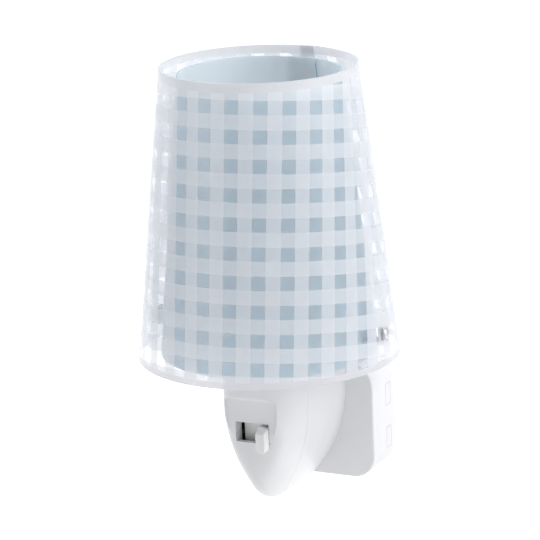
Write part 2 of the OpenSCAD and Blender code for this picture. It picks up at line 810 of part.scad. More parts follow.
// Each wire leaves and arrives square to the metal it is soldered to
solder_gap = 0.1;
lead_out = 1.2;
pin_start = [pin_pitch / 2, tail_y - solder_gap, 0];
strip_tail_y = strip_back_y + solder_gap;
live_end = [strip_end_x + contact_t / 2, strip_tail_y, strip_zs[1]];
switched_start = [-strip_end_x - contact_t / 2, strip_tail_y, strip_zs[0]];
neutral_end = [-shell_outer_d / 2 + shell_t / 2, axis_y, tail_end_z - solder_gap];
switched_end = [centre_tail[0], axis_y + centre_tail[1] + contact_t / 2, tail_end_z - solder_gap];
live_path = [pin_start, pin_start - [0, lead_out, 0], [8.4, -14, 2.2], [7.3, -18, 4.6],
    [7, -24, 7], [6.9, -31, 7.8], live_end + [0, lead_out, 0], live_end];
neutral_start = [-pin_start[0], pin_start[1], 0];
neutral_path = [neutral_start, neutral_start - [0, lead_out, 0], [-8.4, -14, 2.2], [-7.6, -18, 5.6],
    [-7.6, -23, 10], [-7.6, -29, 14], [-7.3, -34.5, 15.2], neutral_end - [0, 0, lead_out], neutral_end];
switched_path = [switched_start, switched_start + [0, lead_out, 0], [-5.8, -32, 7.4],
    [-4.6, -29.6, 11.6], [-3.6, -30, 14.8], switched_end - [0, 0, lead_out], switched_end];

module live_lead() { color([0.5, 0.3, 0.2]) wire(live_path, lead_d); }
module neutral_lead() { color([0.2, 0.4, 0.8]) wire(neutral_path, lead_d); }
module switched_lead() { color([0.5, 0.3, 0.2]) wire(switched_path, lead_d); }

// ---- Bulb ----

tip_h = 1.4;
tip_d = 7;
tip_edge = 0.5;
insulator_h = 2;
insulator_step = 1.3;
cap_z = tip_z + tip_h + insulator_h;
collar_z = cap_z + cap_h;
globe_z = collar_z + collar_h;

module bulb_tip() {
    color([0.25, 0.25, 0.28]) on_lamp_axis() rotate_extrude() polygon([
        [0, tip_z], [tip_d / 2 - tip_edge, tip_z], [tip_d / 2, tip_z + tip_edge],
        [tip_d / 2, tip_z + tip_h], [cap_d / 2 - insulator_step, cap_z], [0, cap_z]]);
}

module bulb_cap() {
    color([0.8, 0.8, 0.82]) on_lamp_axis() translate([0, 0, cap_z]) cylinder(h = cap_h, d = cap_d);
}

collar_rim = 2.5;

module bulb_collar() {
    neck_z = skirt_top_z + 0.4;
    color([0.95, 0.95, 0.95]) on_lamp_axis() rotate_extrude() polygon([
        [0, collar_z], [cap_d / 2 + 0.2, collar_z], [cap_d / 2 + 0.8, neck_z],
        [globe_d / 2, globe_z - collar_rim], [globe_d / 2, globe_z], [0, globe_z]]);
}

// Diffusing globe: straight for a while, then a dome
module bulb_globe() {
    r = globe_d / 2;
    color([1, 1, 0.97, 0.9]) on_lamp_axis() translate([0, 0, globe_z]) difference() {
        globe_solid(r, globe_h);
        translate([0, 0, -1]) globe_solid(r - globe_t, globe_h - globe_t + 1);
    }
}

module globe_solid(r, h) {
    cylinder(h = h - r, r = r);
    translate([0, 0, h - r]) intersection() {
        sphere(r = r);
        cylinder(h = r, r = r);
    }
}

outer_shade();
shade_liner();
shade_bracket();
shade_rivets();
front_cover();
rear_body();
pin_plate();
plug_pins();
pin_sleeves();
cover_screws();
lampholder();
screw_contact();
centre_contact();
switch_slider();
moving_contact();
switch_base();
fixed_contacts();
live_lead();
switched_lead();
neutral_lead();
bulb_cap();
bulb_tip();
bulb_collar();
bulb_globe();
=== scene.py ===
import math

import bmesh
import bpy
from mathutils import Matrix, Vector


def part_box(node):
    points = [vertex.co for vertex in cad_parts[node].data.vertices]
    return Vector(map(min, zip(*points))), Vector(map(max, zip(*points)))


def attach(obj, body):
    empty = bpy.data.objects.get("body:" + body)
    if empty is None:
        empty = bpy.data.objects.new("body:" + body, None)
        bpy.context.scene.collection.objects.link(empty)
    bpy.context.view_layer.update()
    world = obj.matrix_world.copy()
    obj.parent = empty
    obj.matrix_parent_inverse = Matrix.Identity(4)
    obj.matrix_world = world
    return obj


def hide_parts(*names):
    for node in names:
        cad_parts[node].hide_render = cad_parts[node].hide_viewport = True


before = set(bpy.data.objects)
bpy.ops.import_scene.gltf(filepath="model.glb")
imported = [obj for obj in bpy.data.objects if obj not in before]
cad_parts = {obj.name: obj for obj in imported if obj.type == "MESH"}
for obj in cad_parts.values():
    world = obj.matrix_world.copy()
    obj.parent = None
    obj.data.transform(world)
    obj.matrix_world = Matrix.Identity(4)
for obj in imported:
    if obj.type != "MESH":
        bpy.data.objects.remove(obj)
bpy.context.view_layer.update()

MM = 0.001
RIGHT, LEFT = 1, -1

# ---- Sizes shared with the CAD model, in metres ----

AXIS_Y = -38 * MM
SEAT_GAP = 0.05 * MM

# Shade and liner
shade_low, shade_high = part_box("outer_shade")
SHADE_R_BOTTOM = (shade_high.x - shade_low.x) / 2
SHADE_R_TOP = 28 * MM
SHEET_T = 0.5 * MM
liner_low, liner_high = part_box("shade_liner")
LINER_R_BOTTOM = 31 * MM
LINER_R_TOP = 23.1 * MM
LINER_T = 0.5 * MM
STRAP_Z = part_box("shade_bracket")[0].z
STRAP_T = 0.8 * MM
STRAP_W = 5 * MM

# Body: its widest outline, then how its plan and its keel draw in towards the nose
BODY_TOP = 27 * MM
BODY_HALF_W = 13.2 * MM
ARCH_R = 43.4 * MM
ARCH_START = 12 * MM
TIP_R = 3 * MM
DOME_Y = AXIS_Y - 16.3 * MM
WALL = 1.6 * MM
SIDE_PULL = 0.77
SHOULDER_PULL = 0.965
SIDE_PULL_Y = AXIS_Y - 10.6 * MM
KEEL_START_Y = AXIS_Y + 8 * MM
KEEL_RISE = 0.49
KEEL_POWER = 3.5
NOSE_POWER = 6
NECK_D = 16.8 * MM
FOOT_TOP_Z = BODY_TOP - WALL

# Switch panel, window, lever and cover screws
PANEL_Y = AXIS_Y - 13.4 * MM
PANEL_HALF_W = 7.5 * MM
PANEL_SLOPE = 32
PANEL_ARCH_R = 32.5 * MM
PANEL_TOP = 15.2 * MM
WINDOW_W = 10.4 * MM
WINDOW_H = 5.9 * MM
WINDOW_Z = 5.7 * MM
COLLAR_END_Y = PANEL_Y + 3.9 * MM
SCREW_D = 2.5 * MM
POST_D = 4.8 * MM
SCREW_ZS = (13 * MM, -4.5 * MM)
slider_low, slider_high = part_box("switch_slider")
base_low, base_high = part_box("switch_base")
COVER_POST_END_Y = base_low.y + 2.5 * MM
LEVER_W = 2.7 * MM
KNOB_H = 6.8 * MM
KNOB_RISE = 2.3 * MM
KNOB_LAP = 0.35 * MM
KNOB_SHIFT = 0.22 * MM
KNOB_ROUND = 0.38 * MM
SHUTTER_T = 1.2 * MM
RUNNING_GAP = 0.1 * MM

# Plug box
BOX_FACE_Y = -15.5 * MM
BOX_W = 43.2 * MM
BOX_H = 35 * MM
BOX_R = 7 * MM
BOX_BEVEL = 0.6 * MM
BOX_WALL = 1.8 * MM
BULKHEAD_Y = BOX_FACE_Y + BOX_WALL
CLIP_W = 3.55 * MM
CLIP_H = 6.5 * MM
CLIP_Y = -4.4 * MM
CLIP_ZS = (5.6 * MM, -7.6 * MM)
BOX_BACK_CHAMFER = 0.15 * MM
LEAD_HOLE_X = 7.4 * MM
LEAD_HOLE_W = 4.4 * MM
LEAD_HOLE_TOP = 8 * MM

# Plug pins
pin_low, pin_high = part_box("plug_pins")
PIN_X = 9.5 * MM
PIN_D = 4 * MM
CORE_D = 2.6 * MM
SLEEVE_END_Y = 10 * MM
PLATE_T = 2 * MM
PIN_TAIL_R = 1 * MM
PIN_BOSS_Y = -7.5 * MM
PIN_NOSE_R = 1.3 * MM

# Rivets
RIVET_Z = 34.6 * MM
RIVET_HEAD_D = 3.4 * MM
RIVET_D = 1.8 * MM
RIVET_GRIP = SHEET_T + STRAP_T + 0.35 * MM
RIVET_SEAT = 0.06 * MM

# Bulb
tip_low, tip_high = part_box("bulb_tip")
cap_low, cap_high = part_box("bulb_cap")
collar_low, collar_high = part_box("bulb_collar")
globe_low, globe_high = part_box("bulb_globe")
THREAD_PITCH = 2.82 * MM
THREAD_DEPTH = 0.55 * MM
GLOBE_T = 1 * MM
CAP_LEAD_IN = 0.5 * MM
CONTACT_R = 3.5 * MM
CONTACT_H = 1.4 * MM
COLLAR_SHOULDER_Z = 46.4 * MM
COLLAR_RIM = 2.5 * MM


# ---- Mesh helpers ----

def mesh_object(name, verts, faces, closed=True):
    mesh = bpy.data.meshes.new(name)
    mesh.from_pydata([tuple(v) for v in verts], [], faces)
    mesh.update()
    if closed:
        work = bmesh.new()
        work.from_mesh(mesh)
        bmesh.ops.recalc_face_normals(work, faces=work.faces)
        work.to_mesh(mesh)
        work.free()
    obj = bpy.data.objects.new(name, mesh)
    bpy.context.scene.collection.objects.link(obj)
    mesh.shade_smooth()
    return obj


def apply_modifiers(obj):
    """Makes what the modifiers show the object's own mesh."""
    depsgraph = bpy.context.evaluated_depsgraph_get()
    made = bpy.data.meshes.new_from_object(obj.evaluated_get(depsgraph))
    old = obj.data
    obj.modifiers.clear()
    obj.data = made
    made.name = obj.name
    bpy.data.meshes.remove(old)


def combine(obj, tools, operation="DIFFERENCE"):
    """Cuts the tools out of a solid, or adds them to it, and removes them."""
    for tool in tools:
        modifier = obj.modifiers.new("combine", "BOOLEAN")
        modifier.operation = operation
        modifier.solver = "EXACT"
        modifier.object = tool
    apply_modifiers(obj)
    for tool in tools:
        bpy.data.objects.remove(tool)


def soften(obj, width, segments=2, angle=30):
    """Rounds every edge sharper than this many degrees."""
    modifier = obj.modifiers.new("soften", "BEVEL")
    modifier.width = width
    modifier.segments = segments
    modifier.limit_method = "ANGLE"
    modifier.angle_limit = math.radians(angle)
    apply_modifiers(obj)


def shade_by_angle(obj, degrees=30):
    """Smooth shading, apart from edges sharper than this many degrees."""
    obj.data.shade_smooth()
    obj.data.set_sharp_from_angle(angle=math.radians(degrees))
    return obj


def finished(obj, material, degrees=30):
    """Gives a piece one material all over and smooth shading."""
    obj.data.materials.clear()
    obj.data.materials.append(material)
    return shade_by_angle(obj, degrees)


def joined(name, pieces):
    """One object from several, with their meshes side by side."""
    work = bmesh.new()
    for piece in pieces:
        work.from_mesh(piece.data)
    mesh = bpy.data.meshes.new(name)
    work.to_mesh(mesh)
    work.free()
    for piece in pieces:
        bpy.data.objects.remove(piece)
    obj = bpy.data.objects.new(name, mesh)
    bpy.context.scene.collection.objects.link(obj)
    return obj


def arc(cx, cy, r, start, end, steps):
    """Points on an arc, with its angles in degrees."""
    angles = [math.radians(start + (end - start) * k / steps) for k in range(steps + 1)]
    return [(cx + r * math.cos(a), cy + r * math.sin(a)) for a in angles]


def ring_faces(n, rings, start=0):
    """The faces between closed rings of n points each, one ring after another."""
    return [(start + k * n + j, start + k * n + (j + 1) % n,
             start + (k + 1) * n + (j + 1) % n, start + (k + 1) * n + j)
            for k in range(rings - 1) for j in range(n)]


def ruled_block(name, first, last, y_first, y_last):
    """A solid between two flat outlines of as many (x, z) points, each on its own upright plane."""
    n = len(first)
    verts = [(x, y_first, z) for x, z in first] + [(x, y_last, z) for x, z in last]
    return mesh_object(name, verts, [tuple(range(n)), tuple(range(n, 2 * n))] + ring_faces(n, 2))


def prism(name, outline, y_front, y_back):
    return ruled_block(name, outline, outline, y_front, y_back)


def block(name, x0, x1, y0, y1, z0, z1):
    return prism(name, [(x0, z0), (x1, z0), (x1, z1), (x0, z1)], y0, y1)


def rod(name, x, z, d, y_front, y_back):
    return prism(name, arc(x, z, d / 2, 0, 360, 48)[:-1], y_front, y_back)


def lathe(name, profile, matrix, steps=96):
    """A turned solid. The profile runs as (radius, height) from one pole to the other, or round a ring,
    and the matrix takes the turning axis, Z, to its place."""
    verts, faces, rings = [], [], []
    for r, h in profile:
        count = steps if r > 0 else 1
        rings.append([len(verts) + k for k in range(count)])
        verts += [matrix @ Vector((r * math.cos(a), r * math.sin(a), h))
                  for a in (2 * math.pi * k / steps for k in range(count))]
    open_ended = profile[0][0] > 0
    pairs = list(zip(rings, rings[1:])) + ([(rings[-1], rings[0])] if open_ended else [])
    for a, b in pairs:
        for k in range(steps):
            n = (k + 1) % steps
            corners = [a[k % len(a)], a[n % len(a)], b[n % len(b)], b[k % len(b)]]
            corners = list(dict.fromkeys(corners))
            if len(corners) > 2:
                faces.append(corners)
    return mesh_object(name, verts, faces)


def on_lamp_axis(z=0):
    return Matrix.Translation((0, AXIS_Y, z))


# ---- Material helpers ----

class Tree:
    """The nodes of a new material or world, and the few forms that its recipe needs."""

    def __init__(self, name, kind="Material"):
        owners = bpy.data.worlds if kind == "World" else bpy.data.materials
        self.owner = owners.new(name)
        self.owner.use_nodes = True
        self.nodes = self.owner.node_tree.nodes
        self.nodes.clear()
        self.output = self.nodes.new("ShaderNodeOutput" + kind)

    def put(self, socket, value):
        """Links a socket to another one, or sets it to a plain value."""
        if isinstance(value, bpy.types.NodeSocket):
            self.owner.node_tree.links.new(value, socket)
        elif value is not None:
            socket.default_value = value

    def node(self, kind, inputs=None, **settings):
        node = self.nodes.new("ShaderNode" + kind)
        for key, value in settings.items():
            setattr(node, key, value)
        for key, value in (inputs or {}).items():
            self.put(node.inputs[key], value)
        return node

    def maths(self, operation, a, b=None):
        return self.node("Math", {0: a, 1: b}, operation=operation).outputs[0]

    def spread(self, value, from_low, from_high, to_low=0.0, to_high=1.0, smooth=False):
        node = self.node("MapRange", {"Value": value, "From Min": from_low, "From Max": from_high,
                                      "To Min": to_low, "To Max": to_high},
                         interpolation_type="SMOOTHSTEP" if smooth else "LINEAR")
        return node.outputs["Result"]

    def place(self, scale=(1, 1, 1)):
        """The piece's own coordinates, in metres, stretched by scale."""
        coordinates = self.node("TexCoord").outputs["Object"]
        return self.node("Mapping", {"Vector": coordinates, "Scale": scale}).outputs["Vector"]

    def noise(self, scale, detail=2, roughness=0.5, place=None):
        return self.node("TexNoise", {"Vector": place or self.place(), "Scale": scale, "Detail": detail,
                                      "Roughness": roughness}).outputs["Fac"]

    def colours(self, fac, low, high):
        node = self.node("Mix", data_type="RGBA")
        self.put(node.inputs[0], fac)
        self.put(node.inputs[6], (*low, 1))
        self.put(node.inputs[7], (*high, 1))
        return node.outputs[2]

    def clouded(self, colour, dullest, scale, detail=2, clear_from=0.3):
        """A colour that goes a little duller in clouds."""
        cloud = self.spread(self.noise(scale, detail), clear_from, 0.7)
        return self.colours(cloud, tuple(c * dullest for c in colour), colour)

    def bump(self, height, distance, strength=1.0, normal=None):
        return self.node("Bump", {"Height": height, "Distance": distance, "Strength": strength,
                                  "Normal": normal}).outputs["Normal"]

    def edge_normal(self, radius):
        return self.node("Bevel", {"Radius": radius}, samples=6).outputs["Normal"]

    def mix(self, fac, first, second):
        node = self.node("MixShader")
        self.put(node.inputs[0], fac)
        self.put(node.inputs[1], first)
        self.put(node.inputs[2], second)
        return node.outputs[0]

    def clear(self, tint=(1, 1, 1)):
        return self.node("BsdfTransparent", {"Color": (*tint, 1)}).outputs[0]

    def diffusing(self, tone, through, normal=None):
        """A matt surface that lets this share of its light through to the other side."""
        front = self.node("BsdfDiffuse", {"Color": tone, "Normal": normal}).outputs[0]
        back = self.node("BsdfTranslucent", {"Color": tone, "Normal": normal}).outputs[0]
        return self.mix(through, front, back)

    def seen(self):
        """1 for what is looked at, straight on, mirrored or through something clear, and 0 for light."""
        ray = self.node("LightPath").outputs
        bent = self.maths("MAXIMUM", ray["Is Glossy Ray"], ray["Is Transmission Ray"])
        return self.maths("MAXIMUM", ray["Is Camera Ray"], bent)

    def finish(self, shader):
        self.put(self.output.inputs["Surface"], shader)
        return self.owner


PLASTIC_GRAIN = 0.012 * MM
METAL_GRAIN = 0.01 * MM
METAL_EDGE = 0.1 * MM


def moulded_plastic(name, colour, roughness, edge=0.2 * MM, mottle=0.03):
    """Moulded plastic: an even colour with a faint cloudiness, a fine spark-eroded grain and soft edges."""
    tree = Tree(name)
    grain = tree.noise(2600, roughness=0.6)
    shader = tree.node("BsdfPrincipled", {
        "Base Color": tree.clouded(colour, 1 - mottle, 90),
        "Roughness": tree.spread(grain, 0.25, 0.75, roughness - 0.05, roughness + 0.06),
        "Normal": tree.bump(grain, PLASTIC_GRAIN, 0.5, tree.edge_normal(edge))})
    return tree.finish(shader.outputs[0])


def worked_metal(name, colour, roughness, along=(1, 1, 1), streaks=900, tarnish=0.12):
    """Sheet or turned metal: streaks along one direction, a faint tarnish and soft edges."""
    tree = Tree(name)
    streak = tree.noise(streaks, place=tree.place(along))
    shader = tree.node("BsdfPrincipled", {
        "Base Color": tree.clouded(colour, 1 - tarnish, 160, 3, 0.35),
        "Metallic": 1.0,
        "Roughness": tree.spread(streak, 0.3, 0.7, roughness - 0.06, roughness + 0.1),
        "Normal": tree.bump(streak, METAL_GRAIN, 0.4, tree.edge_normal(METAL_EDGE))})
    return tree.finish(shader.outputs[0])


# ---- Sheet materials ----

# The print, measured on the flat sheet: stripes at one pitch both ways, inside a border at each rim
PRINT_PITCH = 8 * MM
PRINT_COLUMN = 5.18 * MM
PRINT_ROW = 253.98 * MM
PRINT_EDGE = 0.35 * MM
STRIPE_HALF = 0.262
BORDER_TOP = 2.7 * MM
BORDER_BOTTOM = 2.0 * MM

# How much each part of the sheet lets through unscattered, and the ink's colour and share of scattered light
CLEAR_SHARE = 0.9
INK_PASS = 0.32
BORDER_PASS = 0.12
FILM_TINT = (0.89, 0.90, 0.925)
INK = (0.87, 0.875, 0.91)
# The borders' white ink, greyed below the stripes' ink as painted shade on the border bands.
BORDER_INK_AND_PAINTED_SHADE = (0.79, 0.785, 0.81)
INK_THROUGH = 0.4
SHEET_EDGE = (0.88, 0.90, 0.93)

# The liner's two sides and its edge, with the share of light that each lets through
# The outer side's blue is darkened as painted shade, standing in for the shade under the printed sheet.
LINER_OUTSIDE_PAINTED_SHADE = (0.57, 0.695, 0.76)
LINER_THROUGH = 0.6
# The inner side is near white as painted light, standing in for the light that falls into the shade; the same
# sheet's outer side is far darker.
LINER_INSIDE_PAINTED_LIGHT = (0.97, 0.985, 1.0)
LINER_INSIDE_THROUGH = 0.35
LINER_HAZE = 0.98
LINER_EDGE = (0.66, 0.78, 0.86)
LINER_GRAIN = 0.01 * MM

# How much a film mirrors, head on and at a glancing angle
SHEEN_HEAD_ON = 0.09
SHEEN_GLANCING = 0.55
SHEEN_POWER = 5.0
FILM_ROUGHNESS = 0.34


def sheen_share(tree):
    """How much a film mirrors: a little head on and more at a glancing angle, on its outer side only."""
    facing = tree.node("LayerWeight", {"Blend": 0.5}).outputs["Facing"]
    glancing = tree.maths("MULTIPLY", tree.maths("POWER", facing, SHEEN_POWER), SHEEN_GLANCING)
    share = tree.maths("ADD", glancing, SHEEN_HEAD_ON)
    front = tree.maths("SUBTRACT", 1.0, tree.node("NewGeometry").outputs["Backfacing"])
    return tree.maths("MULTIPLY", share, front)


def film_sheen(tree, shader, roughness=FILM_ROUGHNESS):
    gloss = tree.node("BsdfAnisotropic", {"Color": (1, 1, 1, 1), "Roughness": roughness}).outputs[0]
    return tree.mix(sheen_share(tree), shader, gloss)


def clear_film(name):
    """The inner side of a clear sheet, which would show only its sheen."""
    tree = Tree(name)
    roughness = tree.spread(tree.noise(60), 0.3, 0.7, 0.27, 0.31)
    return tree.finish(film_sheen(tree, tree.clear(), roughness))


def cut_edge(name, colour):
    """The cut edge of a plastic sheet, which gathers light."""
    tree = Tree(name)
    return tree.finish(tree.diffusing(tree.clouded(colour, 0.94, 1500), 0.5))


def stripe(tree, value, centre):
    """1 on the inked stripes and 0 on the clear ones between them, centre being the middle of a clear one."""
    shifted = tree.maths("ADD", tree.maths("DIVIDE", tree.maths("SUBTRACT", value, centre), PRINT_PITCH), 0.5)
    phase = tree.maths("SUBTRACT", tree.maths("FRACT", shifted), 0.5)
    blur = PRINT_EDGE / PRINT_PITCH / 2
    clear_half = 0.5 - STRIPE_HALF
    return tree.spread(tree.maths("ABSOLUTE", phase), clear_half - blur, clear_half + blur, smooth=True)


def printed_sheet():
    """Clear sheet with a white gingham: two sets of half-clear stripes that cross, inside a solid border."""
    tree = Tree("printed_sheet")
    flat = tree.node("Attribute", attribute_name="flat").outputs["Vector"]
    parts = tree.node("SeparateXYZ", {"Vector": flat})
    slant = tree.node("VectorMath", {0: flat}, operation="LENGTH").outputs["Value"]
    upright = stripe(tree, parts.outputs["X"], PRINT_COLUMN)
    level = stripe(tree, parts.outputs["Y"], PRINT_ROW)
    passes = tree.maths("MULTIPLY", tree.spread(upright, 0, 1, 1, INK_PASS),
                        tree.spread(level, 0, 1, 1, INK_PASS))
    passes = tree.maths("MULTIPLY", passes, CLEAR_SHARE)
    top = tree.spread(slant, SLANT_TOP + BORDER_TOP - PRINT_EDGE, SLANT_TOP + BORDER_TOP, smooth=True)
    bottom = tree.spread(slant, SLANT_BOTTOM - BORDER_BOTTOM, SLANT_BOTTOM - BORDER_BOTTOM + PRINT_EDGE,
                         1, 0, smooth=True)
    inside = tree.maths("MULTIPLY", top, bottom)
    passes = tree.maths("ADD", tree.maths("MULTIPLY", passes, inside),
                        tree.maths("MULTIPLY", tree.maths("SUBTRACT", 1.0, inside), BORDER_PASS))
    mottle = tree.spread(tree.noise(700, 3), 0.3, 0.7, 0.975, 1.0)
    covered = tree.maths("MULTIPLY", tree.maths("SUBTRACT", 1.0, passes), mottle)
    # The border bands take the greyer ink, as painted shade.
    ink = tree.diffusing(tree.colours(inside, BORDER_INK_AND_PAINTED_SHADE, INK), INK_THROUGH)
    return tree.finish(film_sheen(tree, tree.mix(covered, tree.clear(FILM_TINT), ink)))


def liner_sheet():
    """Pale blue frosted sheet that passes light without showing what is behind it, in a blue darkened as
    painted shade.
    """
    tree = Tree("liner_sheet")
    normal = tree.bump(tree.noise(1800), LINER_GRAIN, 0.4)
    return tree.finish(film_sheen(tree, tree.diffusing(tree.clouded(LINER_OUTSIDE_PAINTED_SHADE, 0.97, 70, 3),
                                                       LINER_THROUGH, normal)))


def liner_inside_painted_light():
    """The liner's inner side, made far paler than its outer one as painted light: a lit copy of the same
    sheet's colour.
    """
    tree = Tree("liner_inside_painted_light")
    frost = tree.diffusing(tree.clouded(LINER_INSIDE_PAINTED_LIGHT, 0.98, 70, 3), LINER_INSIDE_THROUGH)
    return tree.finish(film_sheen(tree, tree.mix(LINER_HAZE, tree.clear(), frost)))


# ---- Rolled sheets ----

def cone_of(r_bottom, r_top, z_bottom, z_top):
    """A cone's half angle in radians, and the slant distances from its tip to the two edges."""
    half_angle = math.atan((r_bottom - r_top) / (z_top - z_bottom))
    return half_angle, r_top / math.sin(half_angle), r_bottom / math.sin(half_angle)


HALF_ANGLE, SLANT_TOP, SLANT_BOTTOM = cone_of(SHADE_R_BOTTOM, SHADE_R_TOP, shade_low.z, shade_high.z)
SHEET_ROWS = 60


def rolled_sheet(name, r_bottom, r_top, z_bottom, z_top, thickness, turns, set_off, extra_zs=(), hole=None):
    """A sheet rolled into a tapered sleeve. The turns run from one free edge to the other, in degrees, with
    the front at 360, set_off gives how far the sheet lies outside the cone at a turn, and hole says which
    cells are cut out. Its outer side has material 0, its inner side 1 and its cut edges 2."""
    half_angle = cone_of(r_bottom, r_top, z_bottom, z_top)[0]
    zs = {round(z_bottom + (z_top - z_bottom) * k / SHEET_ROWS, 7) for k in range(SHEET_ROWS + 1)}
    zs = sorted(zs | set(extra_zs))
    verts, flats = [], []
    for side_shift in (0, -thickness):
        for z in zs:
            share = (z - z_bottom) / (z_top - z_bottom)
            r = r_bottom + (r_top - r_bottom) * share
            slant = r / math.sin(half_angle)
            for turn in turns:
                a = math.radians(turn)
                reach = r + set_off(turn) + side_shift
                verts.append((reach * math.sin(a), AXIS_Y - reach * math.cos(a), z))
                unrolled = (a - 2 * math.pi) * math.sin(half_angle)
                flats.append((slant * math.sin(unrolled), slant * math.cos(unrolled), 0))
    n = len(turns)
    inner = len(zs) * n
    cells = [(i, j) for i in range(len(zs) - 1) for j in range(n - 1)
             if not (hole and hole((turns[j] + turns[j + 1]) / 2, (zs[i] + zs[i + 1]) / 2))]
    faces, kinds, edges = [], [], {}
    for i, j in cells:
        corners = [i * n + j, i * n + j + 1, (i + 1) * n + j + 1, (i + 1) * n + j]
        faces += [corners, [inner + c for c in reversed(corners)]]
        kinds += [0, 1]
        for a, b in zip(corners, corners[1:] + corners[:1]):
            edges[(a, b)] = True
    for a, b in edges:
        if (b, a) not in edges:
            faces.append([b, a, inner + a, inner + b])
            kinds.append(2)
    obj = mesh_object(name, verts, faces, closed=False)
    obj.data.polygons.foreach_set("material_index", kinds)
    attribute = obj.data.attributes.new("flat", "FLOAT_VECTOR", "POINT")
    attribute.data.foreach_set("vector", [c for flat in flats for c in flat])
    work = bmesh.new()
    work.from_mesh(obj.data)
    bmesh.ops.delete(work, geom=[v for v in work.verts if not v.link_faces], context="VERTS")
    work.to_mesh(obj.data)
    work.free()
    return shade_by_angle(obj, 40)


def turn_steps(start, end, step, extra=()):
    """Turns in even steps no wider than step, in degrees, with the extra ones among them."""
    count = math.ceil((end - start) / step)
    return sorted({round(start + (end - start) * k / count, 4) for k in range(count + 1)} | set(extra))


def eased(value, start, end):
    """0 up to start, 1 past end, and smooth between them."""
    t = min(1, max(0, (value - start) / (end - start)))
    return t * t * (3 - 2 * t)


LAP_GAP = 0.03 * MM
FULL_TURN = 360
SHADE_LAP = (171, 180.4)
SHADE_RAMP = 14
LINER_LAP = (160, 184)
LINER_RAMP = 14
STRAP_TURNS = (270, 450)
STRAP_PLAY = 0.1 * MM


def build_shade():
    """The printed sheet: its first edge lies under its last one, which is glued down outside it."""
    inner_edge, outer_edge = SHADE_LAP

    def set_off(turn):
        return (SHEET_T + LAP_GAP) * eased(turn, FULL_TURN + inner_edge - SHADE_RAMP, FULL_TURN + inner_edge)

    turns = turn_steps(inner_edge, FULL_TURN + outer_edge, 1.5)
    obj = rolled_sheet("shade_sheet", SHADE_R_BOTTOM, SHADE_R_TOP, shade_low.z, shade_high.z, SHEET_T,
                       turns, set_off)
    for material in (printed_sheet(), clear_film("sheet_inside"), cut_edge("sheet_edge", SHEET_EDGE)):
        obj.data.materials.append(material)
    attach(obj, "shade")
    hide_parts("outer_shade")


def build_liner():
    """The liner: its first edge is tucked inside its last one."""
    inner_edge, outer_edge = LINER_LAP
    slot_z = (STRAP_Z - SEAT_GAP, STRAP_Z + STRAP_T + SEAT_GAP)
    slot_half = math.degrees(math.asin((STRAP_W / 2 + STRAP_PLAY) / LINER_R_BOTTOM))
    slot_turns = [centre + way * slot_half for centre in STRAP_TURNS for way in (LEFT, RIGHT)]

    def set_off(turn):
        return -(LINER_T + LAP_GAP) * (1 - eased(turn, outer_edge, outer_edge + LINER_RAMP))

    def in_slot(turn, z):
        off = min(abs(turn - centre) for centre in STRAP_TURNS)
        return off < slot_half and slot_z[0] < z < slot_z[1]

    turns = turn_steps(inner_edge, FULL_TURN + outer_edge, 2, slot_turns)
    obj = rolled_sheet("liner_roll", LINER_R_BOTTOM, LINER_R_TOP, liner_low.z, liner_high.z, LINER_T,
                       turns, set_off, slot_z, in_slot)
    for material in (liner_sheet(), liner_inside_painted_light(), cut_edge("liner_edge", LINER_EDGE)):
        obj.data.materials.append(material)
    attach(obj, "shade")
    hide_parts("shade_liner")


build_shade()
build_liner()


# ---- Body form ----

TOP_ROUND = 0.8 * MM
PARTING_CHAMFER = 0.12 * MM
PROFILE_TOP, PROFILE_SIDE, PROFILE_ARC, PROFILE_TIP = 6, 6, 40, 8
LOFT_STEPS, NOSE_STEPS = 30, 56
NOSE_END = 0.9995
LOFT_STEP = 1e-4


def cubic(a, b, c, d, t):
    """A Bézier curve's value at t, which runs along the loft from 0 at the back to 1 at the nose."""
    return a * (1 - t) ** 3 + 3 * b * (1 - t) ** 2 * t + 3 * c * (1 - t) * t * t + d * t ** 3


def plan_y(t, inset):
    return cubic(BOX_FACE_Y, SIDE_PULL_Y, DOME_Y + inset, DOME_Y + inset, t)


def width_scale(t):
    return cubic(1, SIDE_PULL, SHOULDER_PULL, 0, t)


def keel_scale(t, inset):
    sweep = max(0, (KEEL_START_Y - plan_y(t, inset)) / (KEEL_START_Y - DOME_Y - inset))
    nose = 1 - (1 - width_scale(t)) ** NOSE_POWER
    return (1 - KEEL_RISE * sweep ** KEEL_POWER) * nose


def t_at(y, inset):
    """Where along the loft its plan curve passes y."""
    low, high = 0.0, 1.0
    for _ in range(40):
        middle = (low + high) / 2
        low, high = (middle, high) if plan_y(middle, inset) > y else (low, middle)
    return low


def half_profile(inset, top_round):
    """Half of the widest outline, from its top down to the tip: (x, z, set back from the plan curve)."""
    half_w = BODY_HALF_W - inset
    top = BODY_TOP - inset
    points = [(half_w, z, top_round - x) for x, z in arc(0, top - top_round, top_round, 90, 0, PROFILE_TOP)]
    if not top_round:
        points = points[-1:]
    start = points[-1][1]
    points += [(half_w, start + (ARCH_START - start) * k / PROFILE_SIDE, 0) for k in range(1, PROFILE_SIDE)]
    centre_x = BODY_HALF_W - ARCH_R
    r = ARCH_R - inset
    tip_r = TIP_R - inset
    turn = math.degrees(math.acos(-centre_x / (r - tip_r)))
    tip_z = ARCH_START - (r - tip_r) * math.sin(math.radians(turn))
    points += [(x, z, 0) for x, z in arc(centre_x, ARCH_START, r, 0, -turn, PROFILE_ARC)]
    points += [(x, z, 0) for x, z in arc(0, tip_z, tip_r, -turn, -90, PROFILE_TIP)[1:]]
    return points


